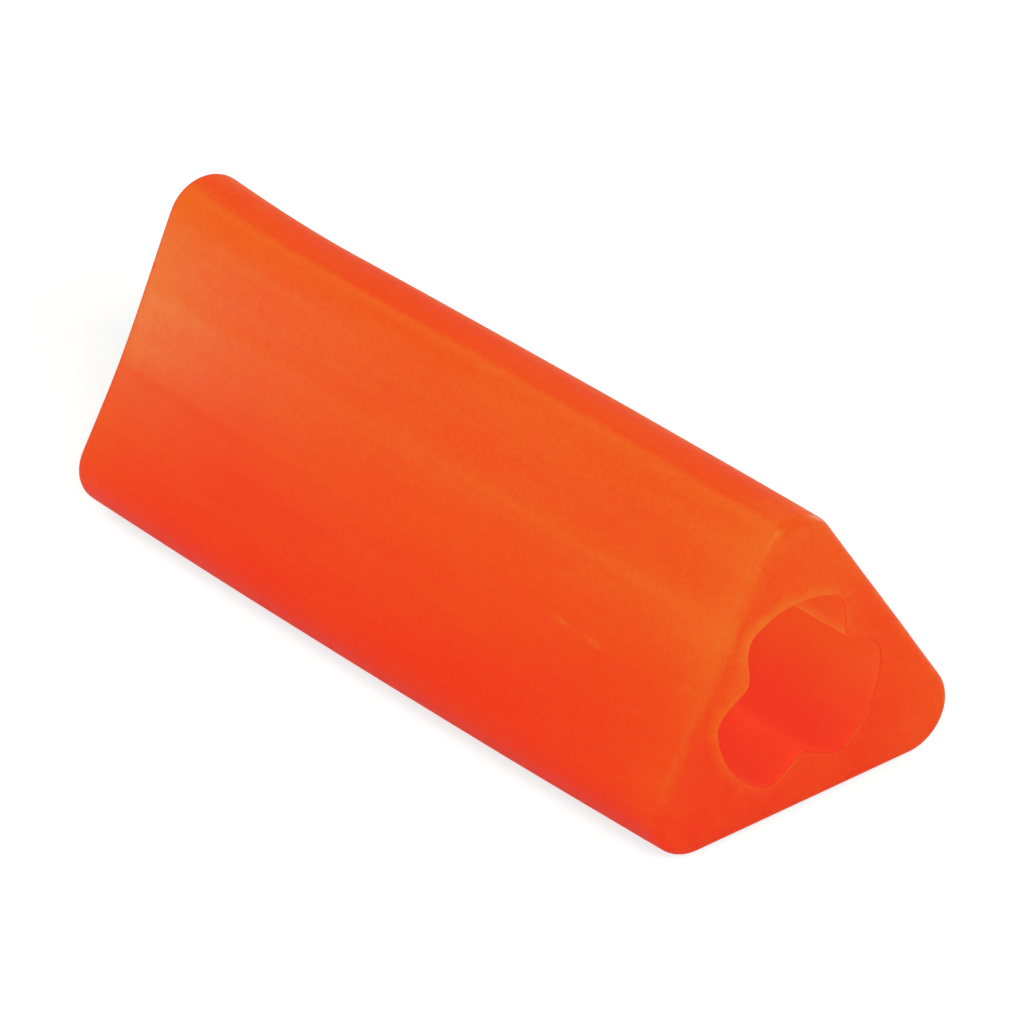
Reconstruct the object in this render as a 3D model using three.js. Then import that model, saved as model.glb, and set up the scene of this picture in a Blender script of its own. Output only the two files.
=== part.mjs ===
// Triangular pencil grip: one soft moulded sleeve that slides over a pencil.
//
// Frame: millimetres, +Z up, +Y along the bore. The origin is the sleeve's centre of volume,
// on the bore's axis half way along it. One flat side faces down.

import * as THREE from 'three';

// The sleeve's outside
const LENGTH = 38;
const SIDE = 17.5; // side of the triangular section, before its corners are rounded
const CORNER_RADIUS = 2;
const EDGE_RADIUS = 0.4; // where an end face meets the sides, and round the mouth of the bore

// The bore, with one lengthwise rib behind the middle of each side
const BORE_RADIUS = 4.1;
const RIB_HEIGHT = 1.2; // how far each rib's crest stands in from the bore's wall
const RIB_HALF_ANGLE = THREE.MathUtils.degToRad(31);

// The triangle
const SIDES = 3;
const TURN_PER_SIDE = (2 * Math.PI) / SIDES;
const RIDGE_ANGLE = Math.PI / 2; // the corner that points up
const RIB_ANGLE = RIDGE_ANGLE + TURN_PER_SIDE / 2;

// How finely round shapes are divided
const ARC_SEGMENTS = 6;
const BORE_POINTS = 96;
const EDGE_SEGMENTS = 4;

// A triangle with rounded corners, pointing up, centred on the origin.
function sleeveOutline() {
  const cornerReach = SIDE / Math.sqrt(3);
  const arcCentreReach = cornerReach - 2 * CORNER_RADIUS;
  const outline = new THREE.Shape();
  for (let corner = 0; corner < SIDES; corner += 1) {
    const angle = RIDGE_ANGLE + corner * TURN_PER_SIDE;
    outline.absarc(
      arcCentreReach * Math.cos(angle),
      arcCentreReach * Math.sin(angle),
      CORNER_RADIUS,
      angle - TURN_PER_SIDE / 2,
      angle + TURN_PER_SIDE / 2,
    );
  }
  outline.closePath();
  return outline;
}

// Distance from the axis to the bore's wall. Each rib is a smooth hump that narrows the bore.
function boreRadius(angle) {
  const fromRib = THREE.MathUtils.euclideanModulo(angle - RIB_ANGLE, TURN_PER_SIDE);
  const offset = Math.min(fromRib, TURN_PER_SIDE - fromRib);
  if (offset > RIB_HALF_ANGLE) {
    return BORE_RADIUS;
  }
  const hump = Math.cos((offset / RIB_HALF_ANGLE) * (Math.PI / 2)) ** 2;
  return BORE_RADIUS - RIB_HEIGHT * hump;
}

function boreOutline() {
  const points = [];
  for (let index = 0; index < BORE_POINTS; index += 1) {
    const angle = (index / BORE_POINTS) * 2 * Math.PI;
    const radius = boreRadius(angle);
    points.push(new THREE.Vector2(radius * Math.cos(angle), radius * Math.sin(angle)));
  }
  return new THREE.Path(points);
}

// The section is drawn in X and Y, extruded along Z, then turned so that its length lies
// along Y and its ridge points up.
function sleeveGeometry() {
  const section = sleeveOutline();
  section.holes.push(boreOutline());
  const straightLength = LENGTH - 2 * EDGE_RADIUS;
  const geometry = new THREE.ExtrudeGeometry(section, {
    depth: straightLength,
    curveSegments: ARC_SEGMENTS,
    bevelThickness: EDGE_RADIUS,
    bevelSize: EDGE_RADIUS,
    bevelOffset: -EDGE_RADIUS,
    bevelSegments: EDGE_SEGMENTS,
  });
  geometry.translate(0, 0, -straightLength / 2);
  geometry.rotateX(Math.PI / 2);
  return geometry;
}

function gripSleeve() {
  const softVinyl = new THREE.MeshStandardMaterial({
    color: 0xf05824,
    roughness: 0.5,
    metalness: 0,
  });
  const sleeve = new THREE.Mesh(sleeveGeometry(), softVinyl);
  sleeve.name = 'grip_sleeve';
  return sleeve;
}

const pencilGrip = new THREE.Group();
pencilGrip.add(gripSleeve());

export default pencilGrip;
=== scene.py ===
"""Looks of the triangular pencil grip: one soft vinyl sleeve on a pale studio floor."""

import math
from functools import partial

import bmesh
import bpy
from mathutils import Matrix, Vector, noise


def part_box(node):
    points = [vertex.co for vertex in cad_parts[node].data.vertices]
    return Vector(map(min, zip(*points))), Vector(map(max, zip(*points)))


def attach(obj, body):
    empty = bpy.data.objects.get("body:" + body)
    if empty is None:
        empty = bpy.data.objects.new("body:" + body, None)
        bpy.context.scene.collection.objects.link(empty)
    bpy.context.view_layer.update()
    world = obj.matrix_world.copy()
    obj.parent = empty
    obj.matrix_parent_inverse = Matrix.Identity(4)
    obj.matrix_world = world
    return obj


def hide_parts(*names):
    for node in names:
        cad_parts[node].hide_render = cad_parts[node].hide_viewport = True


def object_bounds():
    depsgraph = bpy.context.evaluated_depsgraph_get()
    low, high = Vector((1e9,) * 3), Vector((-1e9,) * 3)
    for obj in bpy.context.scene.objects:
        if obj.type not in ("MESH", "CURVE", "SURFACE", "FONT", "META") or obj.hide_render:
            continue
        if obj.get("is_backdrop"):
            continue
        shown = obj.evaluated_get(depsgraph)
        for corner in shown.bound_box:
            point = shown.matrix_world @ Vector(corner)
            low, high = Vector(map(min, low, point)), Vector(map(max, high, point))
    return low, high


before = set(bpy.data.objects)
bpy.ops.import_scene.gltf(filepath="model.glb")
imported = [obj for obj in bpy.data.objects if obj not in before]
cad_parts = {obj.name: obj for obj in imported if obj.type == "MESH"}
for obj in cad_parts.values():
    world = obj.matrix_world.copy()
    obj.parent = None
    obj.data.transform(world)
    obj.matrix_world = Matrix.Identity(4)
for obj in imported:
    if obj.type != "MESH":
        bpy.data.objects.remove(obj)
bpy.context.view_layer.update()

MM = 0.001
NODE = "grip_sleeve"
BODY = "root"

# The sleeve's section and length, from the frame. The ridge points up, one side faces down.
LOW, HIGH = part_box(NODE)
LENGTH = HIGH.y - LOW.y
INRADIUS = -LOW.z
CORNER_RADIUS = 2 * INRADIUS - HIGH.z
ARC_CENTRE_REACH = 2 * INRADIUS - 2 * CORNER_RADIUS
TURN_PER_SIDE = math.tau / 3
RIDGE_ANGLE = math.pi / 2
RIB_ANGLE = RIDGE_ANGLE + TURN_PER_SIDE / 2

# The rounding of the outer end edges, and the ribbed bore
EDGE_RADIUS = 0.4 * MM
BORE_RADIUS = 4.1 * MM
RIB_HEIGHT = 1.2 * MM
RIB_HALF_ANGLE = math.radians(31)
RIM_RADIUS = 0.1 * MM
CORE_TWIST = math.radians(1.5)
CORE_SHIFT = Vector((-0.18, 0.32)) * MM

# The raised lip round each mouth of the bore: narrower by its dip at the ribs, highest at its angle
LIP_WIDTH = 0.62 * MM
LIP_DIP = 0.42 * MM
LIP_HEIGHT = 0.2 * MM
LIP_ANGLE = math.radians(150)

# How a soft moulding settles: its overall size, its ends, the far end's rising ridge and shallow dish
WIDTH_GAIN = 1.031
HEIGHT_GAIN = 0.987
END_SHRINK = 0.02
END_SKEW = 0.015
FLARE_HEIGHT = 0.6 * MM
FLARE_LENGTH = 9 * MM
DISH_DEPTH = 0.17 * MM
DISH_MIDDLE = 2.2 * MM
DISH_REACH = 6.5 * MM

# Each side stands a little proud over the rib behind it. Places are measured up from its middle.
BAND_START = -1.2 * MM
BAND_STEP = 0.6 * MM
BAND_CREST = 2.0 * MM
BAND_FLANK = 1.1 * MM
BAND_PLATEAU = 0.5
BAND_HEIGHT = 0.06 * MM

# The moulding line beside each corner's crest, the waves in the skin, and where relief fades out
SEAM_TURN = math.radians(6.2)
SEAM_WIDTH = math.radians(2.4)
SEAM_HEIGHT = 0.02 * MM
WAVE_HEIGHT = 0.035 * MM
WAVE_ACROSS = 2.5 * MM
WAVE_ALONG = 9 * MM
RELIEF_FADE = 1.2 * MM

# Features that the material can tell apart, by masks on the mesh, and how strongly each is drawn. The lip,
# rib, corner and edge masks carry painted highlights, sheen and shade.
MASKS = ("lip", "bore", "rib", "corner", "edge")
CREST_SHARPNESS = 6
SEAM_PAINTED_HIGHLIGHT = 1.2
CORNER_PAINTED_SHADE = 1.4
EDGE_SHEEN_WIDTH = 2.5 * MM
END_PAINTED_SHADE = 0.65

# How finely the surface is divided
AROUND = 360
ANGLES = [math.tau * index / AROUND for index in range(AROUND)]
ALONG = 76
EDGE_STEPS = 6
FACE_STEPS = 6
LIP_STEPS = 6

# Painted shade and light: the vinyl is coloured deep red near the floor and orange near the ridge
PAINTED_SHADE_HEIGHT = -4.2 * MM
PAINTED_LIGHT_HEIGHT = 7.5 * MM

# Painted light: it is paler too toward the lower right corner, and over the last stretch of each end
CORNER_SLANT = -0.3
CORNER_GLOW_START = 3.5 * MM
CORNER_GLOW_STOP = 8 * MM
FAR_GLOW_LENGTH = 8 * MM
NEAR_GLOW_LENGTH = 5 * MM
NEAR_GLOW_MARGIN = 0.1 * MM

# The sizes of the fine detail in its colour, and how far two of its patterns are drawn out
MOTTLE_SIZE = 2.5 * MM
MOTTLE_SQUEEZE = 0.3
LINE_SIZE = 0.5 * MM
LINE_SQUEEZE = 0.04
GRAIN_SIZE = 0.2 * MM
SPECK_SPACING = 4.3 * MM
SPECK_RADIUS = 0.25 * MM

# How much each feature pales the vinyl. Height, low right, far end, near end, lip, rib, corner and edge are
# painted light and shade; mottle, lines, grain, specks and scuff are its own colour.
PAINTED_LIGHT_AND_TONE = {
    "height": 0.76,
    "low right": 0.52,
    "far end": 0.12,
    "near end": 0.13,
    "lip": 0.42,
    "rib": 0.18,
    "corner": 0.16,
    "edge": 0.17,
    "mottle": 0.45,
    "lines": 0.35,
    "grain": 0.70,
    "specks": 0.28,
    "scuff": 0.65,
}

# How much painted glow each part of the bore gets, standing in for light through the wall
BORE_PAINTED_GLOW = {"height": 0.62, "rib": 0.22, "clouds": 0.22}
BORE_PAINTED_GLOW_TOP = 0.15 * BORE_RADIUS
CLOUD_SIZE = 1.5 * MM

# The vinyl's colour along its tone, from painted shade where it looks deep to painted light where light
# soaks through it
SKIN_COLOURS = (
    (0.0, (0.58, 0.041, 0.011, 1)),
    (0.6, (0.60, 0.085, 0.011, 1)),
    (1.0, (0.62, 0.134, 0.016, 1)),
)
# In the bore the vinyl's colour is darker still: painted shade, under the painted glow
BORE_PAINTED_SHADE_COLOURS = (
    (0.0, (0.45, 0.010, 0.009, 1)),
    (0.6, (0.46, 0.036, 0.010, 1)),
    (1.0, (0.48, 0.060, 0.012, 1)),
)
# Painted glow: the bore emits it in place of light that comes through the wall, from its floor to its upper
# half
PAINTED_GLOW_COLOURS = (
    (0.0, (0.40, 0.026, 0.012, 1)),
    (0.4, (0.40, 0.056, 0.013, 1)),
    (0.7, (0.40, 0.076, 0.014, 1)),
    (1.0, (0.40, 0.125, 0.015, 1)),
)

# The vinyl's surface: fine grain over wider pitting
ROUGHNESS = 0.40
SURFACE_GRAIN_SIZE = 0.16 * MM
PITTING_SIZE = 0.9 * MM
BUMP_STRENGTH = 0.5
BUMP_DEPTH = 0.03 * MM
SPECULAR_LEVEL = 0.3
SPECULAR_TINT = (1, 0.55, 0.15, 1)

# How light spreads inside it
SUBSURFACE_WEIGHT = 0.65
SUBSURFACE_RADIUS = (1.0, 0.25, 0.1)
SUBSURFACE_SCALE = 5 * MM

# One fine scratch on the side that faces the camera
SCUFF_START = Vector((-4.89, -9.3, 1.71)) * MM
SCUFF_STOP = Vector((-4.99, -14.1, 1.55)) * MM
SCUFF_WIDTH = 0.16 * MM
SCUFF_BREAK_SIZE = 0.5 * MM

# The studio: light on the sleeve is dimmer and warmer than the white that the camera sees
WHITE = (1, 1, 1, 1)
FLOOR_COLOUR = (0.45, 0.45, 0.45, 1)
FLOOR_LIFT = 0.70
FLOOR_REACH = 40 * LENGTH
ROOM_COLOUR = (0.32, 0.305, 0.25, 1)

# Lamps: direction, distance and size in metres, watts
LAMPS = {
    "key": ((-0.25, -0.78, 0.57), 0.5, 0.25, 1.90),
    "left": ((-0.85, -0.05, 0.52), 0.5, 0.25, 0.74),
    "right": ((0.97, 0.15, 0.12), 0.5, 0.25, 0.80),
    "glint": ((-0.41, 0.89, 0.21), 0.030, 0.007, 0.00052),
}

# Two points that bend the red channel's curve
RED_CURVE = ((0.5, 0.835), (0.9, 0.885))

# Camera, as seen from the middle of the sleeve
AZIMUTH = math.radians(-37.12)
ELEVATION = math.radians(29.96)
ROLL = math.radians(-3.17)
DISTANCE = 315.3 * MM
LENS = 275.5
SENSOR = 36
PAN_RIGHT = 0.657 * MM
PAN_UP = 0.197 * MM


# ---------------------------------------------------------------- shape


def smooth_step(value):
    value = min(max(value, 0), 1)
    return value * value * (3 - 2 * value)


def from_corner(angle):
    """Angle from the nearest corner's crest, with its sign."""
    return (angle - RIDGE_ANGLE + TURN_PER_SIDE / 2) % TURN_PER_SIDE - TURN_PER_SIDE / 2


def upward(angle):
    """1 straight up from the axis, 0 straight down."""
    return (1 + math.sin(angle)) / 2


def polar(radius, angle):
    return Vector((radius * math.cos(angle), radius * math.sin(angle)))


def outer_radius(angle, inset):
    """Distance from the axis to the rounded triangle, drawn in by inset."""
    offset = from_corner(angle)
    corner = CORNER_RADIUS - inset
    arc_end = math.atan2(
        corner * math.sin(TURN_PER_SIDE / 2),
        ARC_CENTRE_REACH + corner * math.cos(TURN_PER_SIDE / 2),
    )
    if abs(offset) > arc_end:
        return (INRADIUS - inset) / math.cos(TURN_PER_SIDE / 2 - abs(offset))
    across = ARC_CENTRE_REACH * math.sin(offset)
    return ARC_CENTRE_REACH * math.cos(offset) + math.sqrt(corner**2 - across**2)


def from_rib(angle):
    """Angle from the nearest rib's middle, without its sign."""
    turn = (angle - RIB_ANGLE - CORE_TWIST) % TURN_PER_SIDE
    return min(turn, TURN_PER_SIDE - turn)


def up_the_side(angle):
    """Distance from the middle of a side, measured across it."""
    turn = (RIB_ANGLE - angle + TURN_PER_SIDE / 2) % TURN_PER_SIDE - TURN_PER_SIDE / 2
    return INRADIUS * math.tan(turn)


def band(angle):
    """The strip of each side that lies over a rib: a low plateau with a crest along one edge."""
    place = up_the_side(angle)
    rise = smooth_step((place - BAND_START) / BAND_STEP + 0.5)
    fall = smooth_step((BAND_CREST - place) / BAND_FLANK + 1)
    crest = smooth_step(1 - abs(place - BAND_CREST) / BAND_FLANK)
    return min(rise, fall) * (BAND_PLATEAU + (1 - BAND_PLATEAU) * crest)


def seam(angle):
    """A faint moulding line beside the crest of each rounded corner."""
    return smooth_step(1 - abs(from_corner(angle) - SEAM_TURN) / SEAM_WIDTH)


def corner_strip(angle):
    """1 over the crest of each rounded corner, as far as its moulding line."""
    turn = from_corner(angle)
    return smooth_step((SEAM_TURN - turn) / SEAM_WIDTH) * smooth_step((SEAM_TURN + turn) / SEAM_WIDTH)


def relief(angle, y):
    """How far the skin stands out from the plain triangle."""
    spot = Vector((math.cos(angle), math.sin(angle), 0)) * (INRADIUS / WAVE_ACROSS)
    spot.z = y / WAVE_ALONG
    height = BAND_HEIGHT * band(angle) + SEAM_HEIGHT * seam(angle) + WAVE_HEIGHT * noise.noise(spot)
    return height * smooth_step((LENGTH / 2 - abs(y)) / RELIEF_FADE)


def rib_hump(angle):
    """1 on a rib's crest, falling to 0 at its foot."""
    offset = from_rib(angle)
    if offset > RIB_HALF_ANGLE:
        return 0
    return math.cos(offset / RIB_HALF_ANGLE * math.pi / 2) ** 2


def skin(angle, y, inset):
    return polar(outer_radius(angle, inset) + relief(angle, y), angle)


def lip_foot(angle):
    """Where the raised lip round the mouth of the bore meets the flat end face."""
    return CORE_SHIFT + polar(BORE_RADIUS + LIP_WIDTH - LIP_DIP * rib_hump(angle), angle)


def bore(angle, outset):
    return CORE_SHIFT + polar(BORE_RADIUS - RIB_HEIGHT * rib_hump(angle) + outset, angle)


def lip_share(angle):
    """The lip is highest on the upper left and dies out on the opposite side."""
    return (1 + math.cos(angle - LIP_ANGLE)) / 2


def quarter_turn(steps):
    """Pairs of (cosine, sine) from 0 to 90 degrees, without the first."""
    turns = [step / steps * math.pi / 2 for step in range(1, steps + 1)]
    return [(math.cos(turn), math.sin(turn)) for turn in turns]


def side_rings():
    """Rings from the middle of the outer side to the flat end face.

    A ring is (point of the section at an angle, y, share of the lip's height, how far into
    the bore)."""
    straight = LENGTH / 2 - EDGE_RADIUS
    half = ALONG // 2
    places = [(straight * step / half, 0) for step in range(half + 1)]
    for cosine, sine in quarter_turn(EDGE_STEPS):
        places.append((straight + EDGE_RADIUS * sine, EDGE_RADIUS * (1 - cosine)))
    return [(partial(skin, y=y, inset=inset), y, 0, 0) for y, inset in places]


def between(first, second, share):
    return lambda angle: first(angle).lerp(second(angle), share)


def end_rings():
    """Rings across the flat end face and up the lip."""
    end = LENGTH / 2
    edge = partial(skin, y=end, inset=EDGE_RADIUS)
    mouth = partial(bore, outset=RIM_RADIUS)
    flat = [(between(edge, lip_foot, step / FACE_STEPS), end, 0, 0) for step in range(1, FACE_STEPS)]
    shares = [step / LIP_STEPS for step in range(LIP_STEPS)]
    slope = [(between(lip_foot, mouth, share), end, smooth_step(share), 0) for share in shares]
    return flat + slope


def bore_rings():
    """Rings over the mouth's rounded edge and along the bore to its middle."""
    straight = LENGTH / 2 - RIM_RADIUS
    rings = []
    for cosine, sine in reversed([(1, 0)] + quarter_turn(EDGE_STEPS)):
        spot_at = partial(bore, outset=RIM_RADIUS * (1 - cosine))
        rings.append((spot_at, straight + RIM_RADIUS * sine, 1, 1 - sine))
    half = ALONG // 2
    for step in range(half - 1, -1, -1):
        rings.append((partial(bore, outset=0), straight * step / half, step / half, 1))
    return rings


def all_rings():
    """The far half, then the near half walked back from the bore to the outer side.

    The first and last rings of the near half lie on those of the far half, so they are left out."""
    far = side_rings() + end_rings() + bore_rings()
    near = [(spot_at, -y, -lip, inside) for spot_at, y, lip, inside in reversed(far)]
    return far + near[1:-1]


def settle(x, y, z):
    """The small ways in which a soft moulding departs from its drawing."""
    shrink = 1 - END_SHRINK * (2 * y / LENGTH) ** 2
    x *= WIDTH_GAIN * shrink
    z *= HEIGHT_GAIN * shrink
    from_far_end = max(0, 1 - (LENGTH / 2 - y) / FLARE_LENGTH)
    y -= DISH_DEPTH * from_far_end * smooth_step(1 - abs(z - DISH_MIDDLE) / DISH_REACH)
    z += FLARE_HEIGHT * from_far_end**2 * smooth_step(z / HIGH.z)
    return Vector((x, y - END_SKEW * x, z))


def ring_points(spot_at, y, lip):
    points = []
    for angle in ANGLES:
        spot = spot_at(angle)
        points.append(settle(spot.x, y + LIP_HEIGHT * lip * lip_share(angle), spot.y))
    return points


def edge_sheen_and_shade(angle, y):
    """Painted sheen on the sides toward their ends and painted shade on the ends themselves, most of both
    near the ridge.
    """
    from_end = LENGTH / 2 - abs(y)
    if from_end > EDGE_RADIUS:
        return smooth_step(1 - from_end / EDGE_SHEEN_WIDTH) * (1 + upward(angle)) / 2
    return -END_PAINTED_SHADE * upward(angle)


def ring_masks(y, lip, inside):
    """For each point, how much it belongs to each of the features named in MASKS."""
    on_side = 1 if abs(y) < LENGTH / 2 and inside == 0 else 0
    rows = []
    for angle in ANGLES:
        # Painted highlight on the ribs' crests in the bore, strongest toward the top
        crest = rib_hump(angle) ** CREST_SHARPNESS * 2 * upward(angle)
        rows.append((
            # Painted highlight on the lip, strongest on its upper left
            abs(lip) * (1 - inside) * lip_share(angle),
            inside,
            # The rib mask: the painted crest highlight in the bore and a painted highlight over each side's
            # raised band
            crest * inside + band(angle) * on_side,
            # Painted highlight along the moulding line, painted shade over the corner's crest
            (SEAM_PAINTED_HIGHLIGHT * seam(angle) - CORNER_PAINTED_SHADE * corner_strip(angle)) * on_side,
            # Painted sheen and shade near the ends
            edge_sheen_and_shade(angle, y) * (1 - inside),
        ))
    return rows


def write_masks(data, rows):
    for column, name in enumerate(MASKS):
        mask = data.attributes.new(name, "FLOAT", "POINT")
        mask.data.foreach_set("value", [row[column] for row in rows])


def sleeve():
    """The whole moulding as one closed mesh of quads."""
    mesh = bmesh.new()
    loops = []
    masks = []
    for spot_at, y, lip, inside in all_rings():
        loops.append([mesh.verts.new(point) for point in ring_points(spot_at, y, lip)])
        masks += ring_masks(y, lip, inside)
    for here, ahead in zip(loops, loops[1:] + loops[:1]):
        for index in range(AROUND):
            beside = (index + 1) % AROUND
            mesh.faces.new((here[index], ahead[index], ahead[beside], here[beside]))
    bmesh.ops.recalc_face_normals(mesh, faces=mesh.faces)
    data = bpy.data.meshes.new("vinyl_sleeve")
    mesh.to_mesh(data)
    mesh.free()
    for polygon in data.polygons:
        polygon.use_smooth = True
    write_masks(data, masks)
    piece = bpy.data.objects.new("vinyl_sleeve", data)
    bpy.context.scene.collection.objects.link(piece)
    return piece


# ---------------------------------------------------------------- materials


class Nodes:
    """A short way to write a node tree."""

    def __init__(self, tree):
        self.tree = tree

    def add(self, kind, inputs=(), **settings):
        """inputs maps input names or numbers to values or to other nodes' outputs."""
        node = self.tree.nodes.new(kind)
        for name, value in settings.items():
            setattr(node, name, value)
        for name, value in dict(inputs).items():
            self.feed(node, name, value)
        return node

    def feed(self, node, name, value):
        if isinstance(value, bpy.types.NodeSocket):
            self.tree.links.new(value, node.inputs[name])
        else:
            node.inputs[name].default_value = value

    def math(self, operation, *values):
        return self.add("ShaderNodeMath", enumerate(values), operation=operation).outputs[0]

    def vector(self, operation, *values):
        return self.add("ShaderNodeVectorMath", enumerate(values), operation=operation).outputs

    def total(self, *terms):
        """The sum of (socket, weight) pairs."""
        result = 0.0
        for value, weight in terms:
            node = self.add("ShaderNodeMath", {0: value, 1: weight, 2: result}, operation="MULTIPLY_ADD")
            result = node.outputs[0]
        return result

    def fade(self, value, low, high, start=0, stop=1):
        """From start to stop, smoothly, as value goes from low to high."""
        settings = {"Value": value, "From Min": low, "From Max": high, "To Min": start, "To Max": stop}
        return self.add("ShaderNodeMapRange", settings, interpolation_type="SMOOTHSTEP").outputs[0]

    def noise(self, place, size, detail=2):
        """Noise about zero, between -0.5 and 0.5, with features of the given size."""
        settings = {"Vector": place, "Scale": 1 / size, "Detail": detail}
        return self.math("SUBTRACT", self.add("ShaderNodeTexNoise", settings).outputs["Fac"], 0.5)

    def long_noise(self, place, size, squeeze, detail=2):
        """Noise with features drawn out along the sleeve."""
        return self.noise(self.vector("MULTIPLY", place, (1, squeeze, 1))[0], size, detail)

    def specks(self, place, spacing, radius):
        """1 in small round dots scattered on a loose grid."""
        node = self.add("ShaderNodeTexVoronoi", {"Vector": place, "Scale": 1 / spacing})
        return self.fade(node.outputs["Distance"], 0.5 * radius / spacing, radius / spacing, 1, 0)

    def mask(self, name):
        return self.add("ShaderNodeAttribute", attribute_name=name).outputs["Fac"]

    def ramp(self, value, stops):
        node = self.add("ShaderNodeValToRGB", {"Fac": value})
        elements = node.color_ramp.elements
        while len(elements) < len(stops):
            elements.new(0.5)
        for element, (position, colour) in zip(elements, stops):
            element.position = position
            element.color = colour
        return node.outputs["Color"]

    def mix(self, share, first, second):
        node = self.add("ShaderNodeMix", {0: share, 6: first, 7: second}, data_type="RGBA")
        return node.outputs[2]

    def seen(self):
        """1 for rays that come straight from the camera."""
        return self.add("ShaderNodeLightPath").outputs["Is Camera Ray"]


def new_material(name, make_inputs):
    """A material whose shader inputs come from make_inputs, which may add nodes."""
    material = bpy.data.materials.new(name)
    material.use_nodes = True
    nodes = Nodes(material.node_tree)
    shader = material.node_tree.nodes["Principled BSDF"]
    for name, value in make_inputs(nodes).items():
        nodes.feed(shader, name, value)
    return material


def scuff(nodes, place):
    """1 on one fine, broken scratch, fading out toward its ends."""
    length = (SCUFF_STOP - SCUFF_START).length
    along = (SCUFF_STOP - SCUFF_START).normalized()
    offset = nodes.vector("SUBTRACT", place, SCUFF_START)[0]
    reach = nodes.vector("DOT_PRODUCT", offset, along)["Value"]
    square = nodes.vector("DOT_PRODUCT", offset, offset)["Value"]
    away = nodes.math("SQRT", nodes.math("SUBTRACT", square, nodes.math("MULTIPLY", reach, reach)))
    from_middle = nodes.math("ABSOLUTE", nodes.math("SUBTRACT", reach, length / 2))
    worn = nodes.fade(nodes.noise(place, SCUFF_BREAK_SIZE), -0.12, 0.12, 0.2, 1)
    line = nodes.math("MULTIPLY", worn, nodes.fade(away, 0.2 * SCUFF_WIDTH, 1.4 * SCUFF_WIDTH, 1, 0))
    return nodes.math("MULTIPLY", line, nodes.fade(from_middle, 0.2 * length, 0.5 * length, 1, 0))


def tone_and_painted_light(nodes, place):
    """How pale the vinyl is at each point, from 0 to 1: painted light and shade by place and feature, over
    its own mottle, lines, grain, specks and scuff.
    """
    x, y, z = nodes.add("ShaderNodeSeparateXYZ", {"Vector": place}).outputs
    far_end = LENGTH / 2
    near_end = -LENGTH / 2
    to_low_right = nodes.total((x, 1.0), (z, CORNER_SLANT))
    features = {
        # Painted light and shade: darker low down, paler toward the lower right and at the ends, highlights
        # on the lip, ribs and seams, shade on the corner crests, sheen and shade at the edges
        "height": nodes.fade(z, PAINTED_SHADE_HEIGHT, PAINTED_LIGHT_HEIGHT),
        "low right": nodes.fade(to_low_right, CORNER_GLOW_START, CORNER_GLOW_STOP),
        "far end": nodes.fade(y, far_end - FAR_GLOW_LENGTH, far_end),
        "near end": nodes.fade(y, near_end + NEAR_GLOW_LENGTH, near_end + NEAR_GLOW_MARGIN),
        "lip": nodes.mask("lip"),
        "rib": nodes.mask("rib"),
        "corner": nodes.mask("corner"),
        "edge": nodes.mask("edge"),
        # The vinyl's own colour: mottle, lines, grain, specks and a scuff
        "mottle": nodes.long_noise(place, MOTTLE_SIZE, MOTTLE_SQUEEZE, 4),
        "lines": nodes.long_noise(place, LINE_SIZE, LINE_SQUEEZE),
        "grain": nodes.noise(place, GRAIN_SIZE, 4),
        "specks": nodes.specks(place, SPECK_SPACING, SPECK_RADIUS),
        "scuff": scuff(nodes, place),
    }
    return nodes.total(*[(features[name], weight) for name, weight in PAINTED_LIGHT_AND_TONE.items()])


def bore_painted_glow(nodes, place):
    """How much painted glow the bore gets at each point, from 0 to 1, in place of light through the wall."""
    height = nodes.add("ShaderNodeSeparateXYZ", {"Vector": place}).outputs["Z"]
    return nodes.total(
        (nodes.fade(height, -BORE_RADIUS, BORE_PAINTED_GLOW_TOP), BORE_PAINTED_GLOW["height"]),
        (nodes.mask("rib"), BORE_PAINTED_GLOW["rib"]),
        (nodes.noise(place, CLOUD_SIZE), BORE_PAINTED_GLOW["clouds"]),
    )


def vinyl_inputs(nodes):
    """Soft vinyl: colour with painted light and shade by place, and a painted glow in the bore, over a fine
    grain with a few pits.
    """
    place = nodes.add("ShaderNodeTexCoord").outputs["Object"]
    tone = tone_and_painted_light(nodes, place)
    in_bore = nodes.mask("bore")
    grain = nodes.noise(place, SURFACE_GRAIN_SIZE)
    pitting = nodes.noise(place, PITTING_SIZE, 3)
    height = nodes.total((grain, 0.25), (pitting, 1.0), (scuff(nodes, place), 0.5))
    bump = nodes.add("ShaderNodeBump", {"Height": height, "Strength": BUMP_STRENGTH, "Distance": BUMP_DEPTH})
    return {
        "Base Color": nodes.mix(in_bore, nodes.ramp(tone, SKIN_COLOURS), nodes.ramp(tone, BORE_PAINTED_SHADE_COLOURS)),
        # Painted glow: the bore emits light in place of light that comes through the wall
        "Emission Color": nodes.ramp(bore_painted_glow(nodes, place), PAINTED_GLOW_COLOURS),
        "Emission Strength": nodes.fade(in_bore, 0.5, 1),
        "Roughness": nodes.total((grain, 0.15), (pitting, 0.2), (1.0, ROUGHNESS)),
        "Normal": bump.outputs["Normal"],
        "Specular IOR Level": SPECULAR_LEVEL,
        "Specular Tint": SPECULAR_TINT,
        "Subsurface Weight": SUBSURFACE_WEIGHT,
        "Subsurface Radius": SUBSURFACE_RADIUS,
        "Subsurface Scale": SUBSURFACE_SCALE,
    }


def floor_inputs(nodes):
    """White to the camera, so that only a faint shadow shows, and dimmer to the sleeve."""
    return {
        "Base Color": FLOOR_COLOUR,
        "Roughness": 0.8,
        "Specular IOR Level": 0.1,
        "Emission Color": WHITE,
        "Emission Strength": nodes.math("MULTIPLY", nodes.seen(), FLOOR_LIFT),
    }


# ---------------------------------------------------------------- studio


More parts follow.
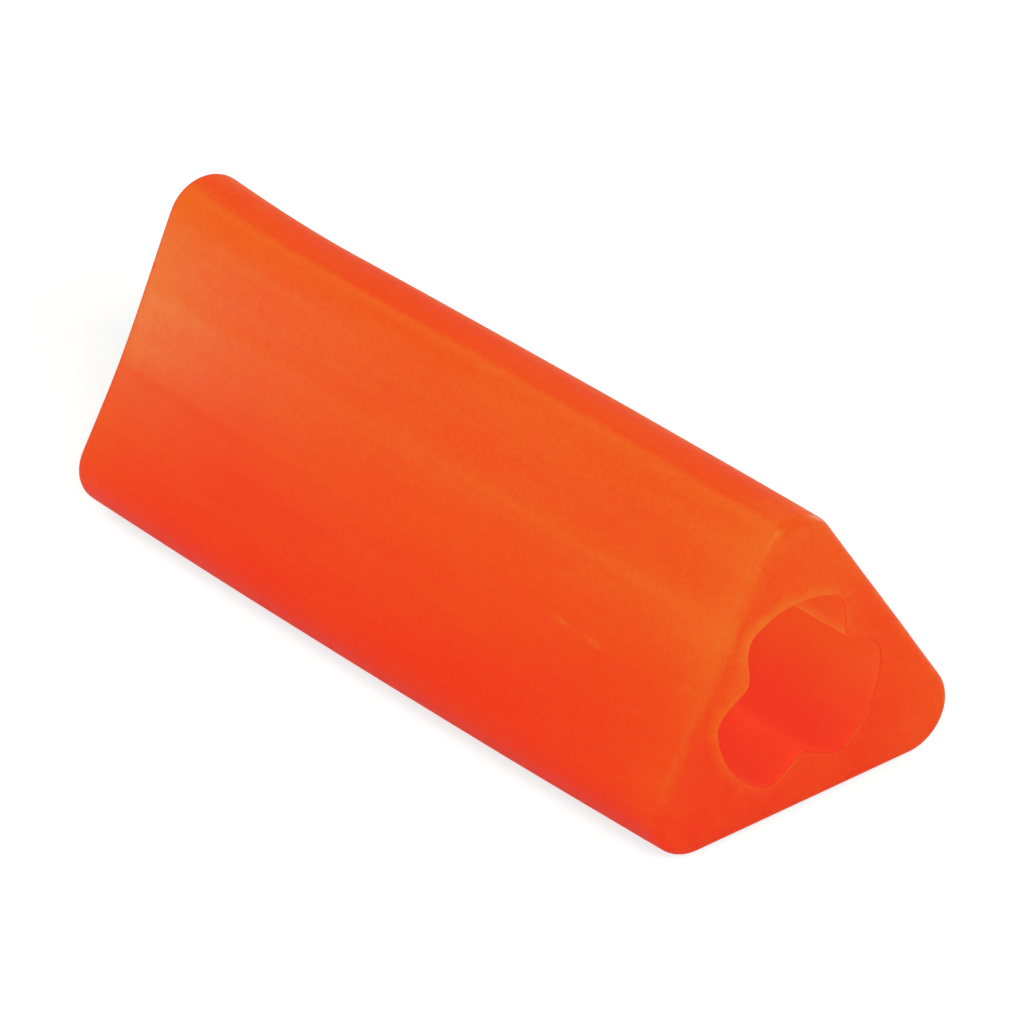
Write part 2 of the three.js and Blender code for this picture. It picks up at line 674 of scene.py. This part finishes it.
def floor():
    mesh = bmesh.new()
    bmesh.ops.create_circle(mesh, cap_ends=True, segments=64, radius=FLOOR_REACH)
    bmesh.ops.translate(mesh, vec=(0, 0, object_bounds()[0].z), verts=mesh.verts)
    data = bpy.data.meshes.new("floor")
    mesh.to_mesh(data)
    mesh.free()
    data.materials.append(new_material("pale_floor", floor_inputs))
    plane = bpy.data.objects.new("floor", data)
    bpy.context.scene.collection.objects.link(plane)
    plane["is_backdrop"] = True


def softbox(name, direction, distance, size, watts):
    """A round lamp, hidden from the camera, that faces the middle of the sleeve."""
    data = bpy.data.lights.new(name, "AREA")
    data.shape = "DISK"
    data.size = size
    data.energy = watts
    lamp = bpy.data.objects.new(name, data)
    lamp.location = Vector(direction).normalized() * distance
    lamp.rotation_mode = "QUATERNION"
    lamp.rotation_quaternion = lamp.location.to_track_quat("Z", "Y")
    lamp.visible_camera = False
    bpy.context.scene.collection.objects.link(lamp)


def studio():
    world = bpy.data.worlds.new("studio")
    world.use_nodes = True
    nodes = Nodes(world.node_tree)
    colour = nodes.mix(nodes.seen(), ROOM_COLOUR, WHITE)
    nodes.feed(world.node_tree.nodes["Background"], "Color", colour)
    bpy.context.scene.world = world
    for name, settings in LAMPS.items():
        softbox(name, *settings)


def grade():
    """Red saturates early, as it does in a picture of a vivid orange thing."""
    settings = bpy.context.scene.view_settings
    settings.view_transform = "Standard"
    settings.use_curve_mapping = True
    red = settings.curve_mapping.curves[0]
    for place, level in RED_CURVE:
        red.points.new(place, level)
    settings.curve_mapping.update()


def camera():
    back = Vector((
        math.sin(AZIMUTH) * math.cos(ELEVATION),
        -math.cos(AZIMUTH) * math.cos(ELEVATION),
        math.sin(ELEVATION),
    ))
    level_right = Vector((math.cos(AZIMUTH), math.sin(AZIMUTH), 0))
    level_up = back.cross(level_right)
    right = math.cos(ROLL) * level_right + math.sin(ROLL) * level_up
    up = math.cos(ROLL) * level_up - math.sin(ROLL) * level_right
    data = bpy.data.cameras.new("camera")
    data.lens = LENS
    data.sensor_width = SENSOR
    data.clip_start = 0.1 * DISTANCE
    data.clip_end = 100 * DISTANCE
    eye = bpy.data.objects.new("camera", data)
    place = Matrix((right, up, back)).transposed().to_4x4()
    place.translation = DISTANCE * back + PAN_RIGHT * right + PAN_UP * up
    eye.matrix_world = place
    bpy.context.scene.collection.objects.link(eye)
    bpy.context.scene.camera = eye


grip = sleeve()
grip.data.materials.append(new_material("soft_vinyl", vinyl_inputs))
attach(grip, BODY)
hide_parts(NODE)
floor()
studio()
grade()
camera()
